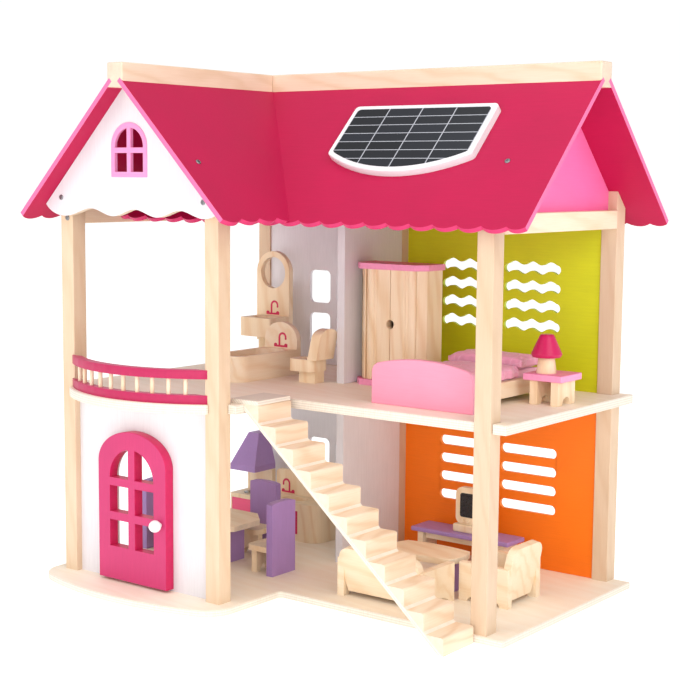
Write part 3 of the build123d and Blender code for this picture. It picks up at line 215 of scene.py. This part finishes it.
def plywood(name, along="x", face_dir=(0, 0, 1), light=(252, 242, 226), dark=(245, 227, 204), seed=0.0):
    """Birch plywood board: quiet veneer on its faces, plies on its edges."""
    net = Net(name, "plywood")
    fine, rings = grain_height(net, along, seed)
    mixed = net.math("MULTIPLY_ADD", fine, 0.6, net.math("MULTIPLY", rings, 0.16))
    veneer = net.ramp(mixed, [(0.2, linear(light)), (0.75, linear(dark))])
    edge = plies(net, face_dir, 0.0026, (250, 240, 226), seed)
    colour = net.mix(net.facing(face_dir), edge, veneer)
    rough = net.math("MULTIPLY_ADD", fine, 0.2, 0.45)
    return net.finish(colour, rough, net.bump(fine, 0.12), coat=0.05, spec=0.35)


def paint(name, slot, rgb, edge=None, face_dir=None, along="x", rough=0.42, seed=0.0, grain=0.035,
          rake=None, rake_dir=None):
    """Paint on board: faint grain telegraphing through, brush mottle, lighter or bare edges if asked; on the
    balcony rails the edge colour is a darker tone that is painted shade.
    """
    net = Net(name, slot)
    fine, rings = grain_height(net, along, seed)
    low = linear([c * 0.95 for c in rgb])
    high = linear([min(255, c * 1.02 + 1) for c in rgb])
    mottle = net.noise(net.mapped((1, 1, 1), (seed, seed, 0)), 14.0, 3.0)
    fac = net.math("MULTIPLY_ADD", fine, 0.5, net.math("MULTIPLY", mottle, 0.5))
    colour = net.ramp(fac, [(0.3, low), (0.7, high)])
    if edge is not None:
        edges = net.facing(face_dir, 0.6, 0.75)
        line = net.noise(net.mapped((3, 3, 3)), 60.0, 3.0)
        trim = net.ramp(line, [(0.35, linear([c * 0.96 for c in edge])), (0.7, linear(edge))])
        if rake is not None:
            trim = net.mix(net.facing(rake_dir, 0.6, 0.75), trim, linear(rake))
        colour = net.mix(edges, trim, colour)
    peel = net.noise(net.mapped((1, 1, 1)), 1400.0, 2.0)
    normal = net.bump(peel, 0.05, 0.0001, net.bump(fine, grain * 4, 0.0003))
    rough_value = net.math("MULTIPLY_ADD", mottle, 0.12, rough - 0.05)
    return net.finish(colour, rough_value, normal, coat=0.04, spec=0.25)


def metal(name, slot):
    net = Net(name, slot)
    scratch = net.noise(net.mapped((400, 40, 400)), 20.0, 4.0)
    colour = net.ramp(scratch, [(0.3, linear((120, 121, 124))), (0.7, linear((168, 169, 172)))])
    net.shader.inputs["Metallic"].default_value = 1.0
    return net.finish(colour, net.math("MULTIPLY_ADD", scratch, 0.2, 0.22), net.bump(scratch, 0.1, 0.0001))


def gloss_black(name):
    net = Net(name, "cell_black")
    dust = net.noise(net.mapped((1, 1, 1)), 300.0, 3.0)
    colour = net.ramp(dust, [(0.3, linear((24, 24, 27))), (0.8, linear((38, 38, 42)))])
    return net.finish(colour, net.math("MULTIPLY_ADD", dust, 0.15, 0.2), coat=0.4)


def cells(name, left, width, top, depth, columns, rows):
    """Printed solar cells: dark rectangles in a grid of thin pale lines, each cell a little different."""
    net = Net(name, "cell_black")
    across = net.math("DIVIDE", net.math("SUBTRACT", net.axis("X"), left), width / columns)
    down = net.math("SUBTRACT", top, net.axis("Z"))
    down = net.math("DIVIDE", down, depth / rows)
    lines = []
    for value, thin in ((across, 0.014), (down, 0.035)):
        part = net.math("FRACT", value)
        near = net.math("MINIMUM", part, net.math("SUBTRACT", 1.0, part))
        lines.append(net.math("LESS_THAN", near, thin))
    line = net.math("MAXIMUM", lines[0], lines[1])
    cell_id = net.math("ADD", net.math("FLOOR", across), net.math("MULTIPLY", net.math("FLOOR", down), 7.3))
    shade = net.math("FRACT", net.math("MULTIPLY", net.math("SINE", cell_id), 43.7))
    dark = net.ramp(shade, [(0.0, linear((12, 15, 22))), (1.0, linear((26, 30, 40)))])
    colour = net.mix(line, dark, linear((184, 187, 196)))
    return net.finish(colour, 0.3, coat=0.15, spec=0.35)


def cloth(name, rgb, pattern=None):
    """Fine plain-weave cotton, with an optional printed line pattern."""
    net = Net(name, "bedding")
    weave = []
    for direction in ("X", "Y"):
        wave = net.add("ShaderNodeTexWave", wave_type="BANDS", bands_direction=direction)
        net.link(net.mapped((1, 1, 1)), wave.inputs["Vector"])
        wave.inputs["Scale"].default_value = 700.0
        weave.append(wave.outputs["Fac"])
    threads = net.math("MULTIPLY", weave[0], weave[1])
    slub = net.noise(net.mapped((1, 1, 1)), 120.0, 3.0)
    fac = net.math("MULTIPLY_ADD", slub, 0.6, net.math("MULTIPLY", threads, 0.4))
    colour = net.ramp(fac, [(0.2, linear([c * 0.93 for c in rgb])), (0.8, linear(rgb))])
    if pattern is not None:
        loops = net.add("ShaderNodeTexVoronoi", feature="DISTANCE_TO_EDGE")
        net.link(net.mapped((1, 1, 1)), loops.inputs["Vector"])
        loops.inputs["Scale"].default_value = 60.0
        mark = net.math("LESS_THAN", loops.outputs["Distance"], 0.03)
        colour = net.mix(net.math("MULTIPLY", mark, 0.3), colour, linear(pattern))
    net.shader.inputs["Sheen Weight"].default_value = 0.25
    return net.finish(colour, 0.85, net.bump(threads, 0.25, 0.0002), spec=0.15)


# ------------------------------------------------------------------ palette
WHITE = (229, 226, 230)
MAGENTA = (186, 12, 72)
EAVE = (214, 58, 112)
RAKE = (228, 112, 160)
DOOR_PINK = (200, 58, 112)
GABLE_PINK = (250, 118, 178)
ROSE = (252, 156, 182)
LIME = (214, 218, 30)
ORANGE = (252, 122, 22)
PURPLE = (174, 140, 200)
BARE = (232, 210, 182)
# light and dark tone of each pine
# the main posts use the wing posts' pine darkened as painted shade; the wood is the same
MAIN_POST_SHADED_TONES = ((222, 197, 171), (208, 175, 143))
WING_POST_TONES = ((227, 203, 176), (214, 182, 148))
RIDGE_TONES = ((236, 212, 190), (218, 186, 152))
TREAD_TONES = ((247, 228, 205), (229, 197, 163))
LOW_FURNITURE_TONES = ((252, 234, 208), (238, 207, 168))
TALL_FURNITURE_TONES = ((252, 232, 202), (236, 202, 160))


def wear(node, net):
    """Give a CAD node its material."""
    obj = nodes[node]
    obj.data.materials.clear()
    obj.data.materials.append(net.material)


def dress_house():
    # main posts: same pine as the wing posts, made darker as painted shade
    wear("main_posts", pine("post pine", "z", *MAIN_POST_SHADED_TONES, seed=1.0, contrast=0.5))
    wear("wing_posts", pine("wing post pine", "z", *WING_POST_TONES, seed=2.3, contrast=0.5))
    wear("main_ridge_beam", pine("ridge pine", "x", *RIDGE_TONES, seed=3.1, contrast=0.7))
    wear("wing_ridge_beam", pine("wing ridge pine", "y", *RIDGE_TONES, seed=4.4, contrast=0.7))
    wear("side_beams", pine("beam pine", "y", seed=5.2, contrast=0.6))
    wear("balcony_balusters", pine("dowel pine", "z", seed=1.5))
    wear("stair_treads", pine("tread pine", "y", *TREAD_TONES, seed=6.6, contrast=0.9))
    wear("base_board", plywood("base ply", "x", seed=7.0))
    wear("upper_floor", plywood("floor ply", "x", seed=8.5))
    strip_normal = (0.66, 0, 0.75)
    wear("stair_stringer",
         plywood("strip ply", "x", strip_normal, (248, 238, 224), (240, 222, 202), seed=9.1))
    for index, node in enumerate(("entrance_wall", "window_walls", "partitions", "wing_gable_panel")):
        wear(node, paint(node + " white", "white_board", WHITE, BARE if node == "wing_gable_panel" else None,
                         (0, 1, 0), seed=index * 1.3, along="z"))
    wear("solar_board", paint("solar white", "white_board", (236, 234, 238), seed=3.3))
    wear("bedroom_back_wall", paint("lime paint", "green_board", LIME, (205, 222, 70), (0, 1, 0), seed=2.0))
    wear("living_back_wall",
         paint("orange paint", "orange_board", ORANGE, (255, 150, 62), (0, 1, 0), seed=2.8))
    for node, way, rake in (("main_roof_front", (0, -1, 1), (1, 0, 0)),
                            ("main_roof_back", (0, 1, 1), (1, 0, 0)),
                            ("wing_roof_left", (-1, 0, 1), (0, 1, 0)),
                            ("wing_roof_right", (1, 0, 1), (0, 1, 0))):
        wear(node, paint(node + " paint", "roof_magenta", MAGENTA, EAVE, way, rough=0.5, seed=len(node),
                         rake=RAKE, rake_dir=rake))
    wear("side_gable_panels", paint("gable pink", "pink_paint", GABLE_PINK, seed=5.5, along="y"))
    wear("attic_window_frame", paint("attic pink", "pink_paint", (238, 150, 198), seed=6.1))
    # balcony rails: one pink paint; the darker crimson on the faces that do not look up or down is painted
    # shade
    wear("balcony_rails",
         paint("rail pink with painted shade sides", "crimson_paint", (206, 74, 118), (188, 42, 90), (0, 0, 1), seed=4.1))
    wear("front_door",
         paint("door pink", "pink_paint", DOOR_PINK, (206, 34, 92), (0, 1, 0), "z", 0.36, seed=3.9))
    wear("door_knob", paint("knob white", "white_knob", (243, 238, 240), rough=0.3))
    for node in ("wall_hinges", "door_hinges", "screws"):
        wear(node, metal(node + " steel", "steel"))
    low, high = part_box("solar_cells")
    wear("solar_cells", cells("solar print", low[0], high[0] - low[0], high[2], high[2] - low[2], 4, 7))


def dress_furniture():
    for index, node in enumerate(("bathtub", "sofa_and_armchair", "bed_frame", "table_and_coffee_tops",
                                  "bench_frame")):
        along = {"bathtub": "y", "bed_frame": "y"}.get(node, "x")
        wear(node, pine(node + " pine", along, *LOW_FURNITURE_TONES, index * 2.1, 0.8,
                        node not in ("sofa_and_armchair", "bathtub")))
    for index, node in enumerate(("washbasin", "toilet", "wardrobe_case", "wardrobe_door_left",
                                  "wardrobe_door_right", "nightstand_legs", "lamp_base", "stove",
                                  "sink_cabinet", "chair_seats", "television")):
        wear(node, pine(node + " pine", "z", *TALL_FURNITURE_TONES, index * 1.9, 0.9))
    wear("taps", paint("tap red", "crimson_paint", (214, 52, 92), rough=0.35))
    wear("wardrobe_plates", paint("wardrobe pink", "rose_paint", (238, 128, 170), (248, 158, 196), (0, 0, 1)))
    wear("nightstand_top", paint("stand pink", "rose_paint", (242, 130, 178), (248, 160, 200), (0, 0, 1)))
    wear("bed_footboard", paint("bed pink", "rose_paint", ROSE, (252, 172, 200), (0, 1, 0)))
    wear("lamp_shade", paint("lamp crimson", "crimson_paint", (200, 36, 92), rough=0.3))
    wear("sink_door", paint("sink crimson", "crimson_paint", (214, 50, 92)))
    wear("oven_door", paint("oven pink", "pink_paint", (244, 96, 140)))
    for index, node in enumerate(("stove_hood", "table_and_coffee_legs", "chair_backs", "bench_top")):
        wear(node, paint(node + " purple", "purple_paint", PURPLE, seed=index * 1.1, along="z"))
    wear("black_parts", gloss_black("black lacquer"))


EDGE_BEVEL = 0.00055
EDGE_MERGE = 0.000002
EDGE_ANGLE = math.radians(40)


def soften_edges():
    """A small rounded bevel on every wooden piece but the thin roof panels, to catch the light."""
    skip = {"bed_quilt", "bed_pillow", "screws", "wall_hinges", "door_hinges", "taps", "solar_cells"}
    for name, obj in nodes.items():
        if name in skip or "roof" in name:
            continue
        weld = obj.modifiers.new("weld", "WELD")
        weld.merge_threshold = EDGE_MERGE
        bevel = obj.modifiers.new("bevel", "BEVEL")
        bevel.width = EDGE_BEVEL
        bevel.segments = 2
        bevel.limit_method = "ANGLE"
        bevel.angle_limit = EDGE_ANGLE
        bevel.harden_normals = True


# ------------------------------------------------------------------ bedding
SIM_SCALE = 10.0                 # the cloth solver is steadier on larger cloth
COLLIDER_ROUND = 0.06            # these two are in simulated units
CLOTH_GAP = 0.012
QUILT_FLAT = (0.112, 0.116)
QUILT_CELLS = (44, 50)
QUILT_FRAMES = 30
QUILT_THICK = 0.0012
QUILT_CREASE = 0.0024
QUILT_FOOT_GAP = 0.002           # from the footboard's end of the mattress
QUILT_LIFT = 0.001
QUILT_DROP = 0.004               # mattress top below the CAD quilt's top
PILLOW_SINK = 0.005


def new_object(name, mesh):
    obj = bpy.data.objects.new(name, mesh)
    scene.collection.objects.link(obj)
    for poly in mesh.polygons:
        poly.use_smooth = True
    return obj


def inflated(name, low, high, squeeze, puff, seed, wrinkle):
    """Stuffed rectangle: a subdivided box whose sides draw in between the corners, crowned and creased."""
    mesh = bpy.data.meshes.new(name)
    bm = bmesh.new()
    bmesh.ops.create_cube(bm, size=2.0)
    bmesh.ops.subdivide_edges(bm, edges=bm.edges[:], cuts=23, use_grid_fill=True)
    centre = (Vector(low) + Vector(high)) / 2
    half = (Vector(high) - Vector(low)) / 2
    for vertex in bm.verts:
        x, y, z = vertex.co
        edge = max(abs(x), abs(y))
        crown = (1 - x ** 4) * (1 - y ** 4)
        pull = 1 - squeeze * (1 - (min(abs(x), abs(y))) ** 2) * (edge ** 3)
        thick = puff + (1 - puff) * crown ** 0.5 if crown > 0 else puff
        crease = noise.fractal(Vector((x * 1.7 + seed, y * 2.9, z)), 0.8, 2.2, 4) * wrinkle * (0.35 + edge)
        vertex.co = (centre.x + x * pull * half.x, centre.y + y * pull * half.y,
                     centre.z + z * thick * half.z + crease * (1 if z > 0 else 0.2))
    bm.to_mesh(mesh)
    bm.free()
    return new_object(name, mesh)


def drape(name, size, cells_xy, start, collider_boxes, frames, crease):
    """Cloth let fall on the bed, simulated ten times as large and scaled back, then creased."""
    mesh = bpy.data.meshes.new(name)
    bm = bmesh.new()
    bmesh.ops.create_grid(bm, x_segments=cells_xy[0], y_segments=cells_xy[1], size=0.5)
    for vertex in bm.verts:
        x, y = vertex.co.x, vertex.co.y
        lift = noise.fractal(Vector((x * 2.5, y * 4.0 + x * 2.0, 1.3)), 0.9, 2.0, 2) * 0.02
        vertex.co = Vector((x * size[0] * SIM_SCALE, y * size[1] * SIM_SCALE * 0.98, lift + 0.03))
    bm.to_mesh(mesh)
    bm.free()
    obj = new_object(name, mesh)
    obj.location = Vector(start) * SIM_SCALE
    colliders = []
    for low, high in collider_boxes:
        low, high = Vector(low) * SIM_SCALE, Vector(high) * SIM_SCALE
        bpy.ops.mesh.primitive_cube_add(size=1.0, location=(low + high) / 2)
        cube = bpy.context.object
        cube.scale = high - low
        bevel = cube.modifiers.new("round", "BEVEL")
        bevel.width = COLLIDER_ROUND
        bevel.segments = 3
        cube.modifiers.new("hit", "COLLISION")
        cube.collision.thickness_outer = CLOTH_GAP
        cube.collision.cloth_friction = 30
        colliders.append(cube)
    cloth_mod = obj.modifiers.new("fall", "CLOTH")
    cloth_mod.settings.quality = 8
    cloth_mod.settings.mass = 0.25
    cloth_mod.settings.tension_stiffness = 20
    cloth_mod.settings.compression_stiffness = 20
    cloth_mod.settings.bending_stiffness = 1.5
    cloth_mod.collision_settings.distance_min = CLOTH_GAP
    cloth_mod.collision_settings.use_self_collision = False
    cloth_mod.point_cache.frame_end = frames
    for step in range(1, frames + 1):
        scene.frame_set(step)
    depsgraph = bpy.context.evaluated_depsgraph_get()
    result = bpy.data.meshes.new_from_object(obj.evaluated_get(depsgraph))
    result.transform(Matrix.Scale(1 / SIM_SCALE, 4) @ Matrix.Translation(obj.location))
    obj.modifiers.clear()
    obj.data = result
    obj.location = (0, 0, 0)
    for vertex in result.vertices:
        x, y = vertex.co.x * 38, vertex.co.y * 38
        fold = 1 - abs(noise.fractal(Vector((x + y * 0.6, y * 1.7 - x * 0.5, 4.0)), 0.9, 2.1, 3))
        vertex.co += vertex.normal * (fold ** 3) * crease
    for poly in result.polygons:
        poly.use_smooth = True
    for cube in colliders:
        bpy.data.objects.remove(cube)
    scene.frame_set(1)
    return obj


def bedding():
    quilt_low, quilt_high = (Vector(corner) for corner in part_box("bed_quilt"))
    pillow_low, pillow_high = (Vector(corner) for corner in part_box("bed_pillow"))
    mattress_top = quilt_high.z - QUILT_DROP
    mattress_high = (quilt_high.x, quilt_high.y, mattress_top)
    mattress = inflated("mattress", quilt_low, mattress_high, 0.01, 0.86, 2.0, 0.0006)
    pillow_low = pillow_low - Vector((0.004, 0.002, 0.006))
    pillow_high = pillow_high + Vector((0.004, 0.003, 0.003))
    pillow = inflated("pillow", pillow_low, pillow_high, 0.08, 0.4, 5.0, 0.0015)
    middle = (quilt_low + quilt_high) / 2
    middle.y = quilt_low.y + QUILT_FLAT[1] / 2 + QUILT_FOOT_GAP
    middle.z = quilt_high.z + QUILT_LIFT
    boxes = [(quilt_low, (quilt_high.x, quilt_high.y, mattress_top + 0.001)),
             (pillow_low, (pillow_high.x, pillow_high.y, pillow_high.z - PILLOW_SINK))]
    frames = QUILT_FRAMES
    quilt = drape("quilt", QUILT_FLAT, QUILT_CELLS, middle, boxes, frames, QUILT_CREASE)
    thick = quilt.modifiers.new("thickness", "SOLIDIFY")
    thick.thickness = QUILT_THICK
    smooth = quilt.modifiers.new("smooth", "SUBSURF")
    smooth.levels = smooth.render_levels = 1
    fabric = cloth("quilt cotton", (252, 176, 204), (250, 214, 232))
    plain = cloth("pillow cotton", (252, 178, 206), (250, 216, 232))
    for obj, net in ((mattress, cloth("mattress cotton", (248, 190, 214))), (quilt, fabric), (pillow, plain)):
        obj.data.materials.clear()
        obj.data.materials.append(net.material)
        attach(obj, "house")
    for obj in (mattress, pillow):
        round_off = obj.modifiers.new("smooth", "SUBSURF")
        round_off.levels = round_off.render_levels = 1
    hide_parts("bed_quilt")
    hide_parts("bed_pillow")


# ------------------------------------------------------------------ stage
def floor():
    bpy.ops.mesh.primitive_plane_add(size=30, location=(0, 0, -0.0002))
    plane = bpy.context.object
    plane.name = "studio_floor"
    material = bpy.data.materials.new("paper white")
    material.use_nodes = True
    shader = material.node_tree.nodes["Principled BSDF"]
    shader.inputs["Base Color"].default_value = (0.95, 0.95, 0.95, 1)
    shader.inputs["Emission Color"].default_value = (1, 1, 1, 1)
    shader.inputs["Emission Strength"].default_value = 0.55
    shader.inputs["Roughness"].default_value = 0.9
    shader.inputs["Specular IOR Level"].default_value = 0.1
    plane.data.materials.append(material)


def area_light(name, place, aim, size, power, colour=(1, 1, 1)):
    data = bpy.data.lights.new(name, "AREA")
    data.shape = "RECTANGLE"
    data.size, data.size_y = size
    data.energy = power
    data.color = colour
    obj = bpy.data.objects.new(name, data)
    scene.collection.objects.link(obj)
    obj.location = place
    obj.rotation_euler = (Vector(aim) - Vector(place)).to_track_quat("-Z", "Y").to_euler()


def lights():
    world = bpy.data.worlds.new("studio")
    scene.world = world
    world.use_nodes = True
    tree = world.node_tree
    back = tree.nodes["Background"]
    coord = tree.nodes.new("ShaderNodeTexCoord")
    split = tree.nodes.new("ShaderNodeSeparateXYZ")
    fade = tree.nodes.new("ShaderNodeMapRange")
    tree.links.new(coord.outputs["Generated"], split.inputs[0])
    tree.links.new(split.outputs["Z"], fade.inputs["Value"])
    for name, value in (("From Min", 0.16), ("From Max", 0.45), ("To Min", 1.02), ("To Max", 0.5)):
        fade.inputs[name].default_value = value
    tree.links.new(fade.outputs["Result"], back.inputs["Strength"])
    back.inputs["Color"].default_value = (1, 1, 1, 1)
    area_light("right softbox", (2.1, -1.0, 1.7), (0, 0, 0.25), (1.8, 1.8), 27, (1, 0.985, 0.965))
    area_light("left softbox", (-1.0, -2.1, 2.0), (0, 0, 0.25), (1.8, 1.6), 15, (1, 0.99, 0.98))
    area_light("top softbox", (0.1, -0.5, 2.4), (0, 0, 0.3), (2.0, 2.0), 12)
    area_light("front fill", (0.9, -2.4, 0.5), (0.05, 0.1, 0.25), (2.0, 0.9), 13, (1, 0.975, 0.95))


def camera():
    yaw, pitch, roll = (math.radians(value) for value in (37.432, 6.775, 0.455))
    view = Vector((-math.sin(yaw) * math.cos(pitch), math.cos(yaw) * math.cos(pitch), -math.sin(pitch)))
    side = Vector((math.cos(yaw), math.sin(yaw), 0))
    top = side.cross(view)
    right = side * math.cos(roll) + top * math.sin(roll)
    up = top * math.cos(roll) - side * math.sin(roll)
    data = bpy.data.cameras.new("camera")
    data.lens = 75.887
    data.sensor_width = 36
    obj = bpy.data.objects.new("camera", data)
    scene.collection.objects.link(obj)
    turn = Matrix((right, up, -view)).transposed().to_4x4()
    obj.matrix_world = Matrix.Translation((1.0491, -1.36165, 0.4837)) @ turn
    scene.camera = obj


dress_house()
dress_furniture()
soften_edges()
bedding()
floor()
lights()
camera()
scene.view_settings.view_transform = "Standard"
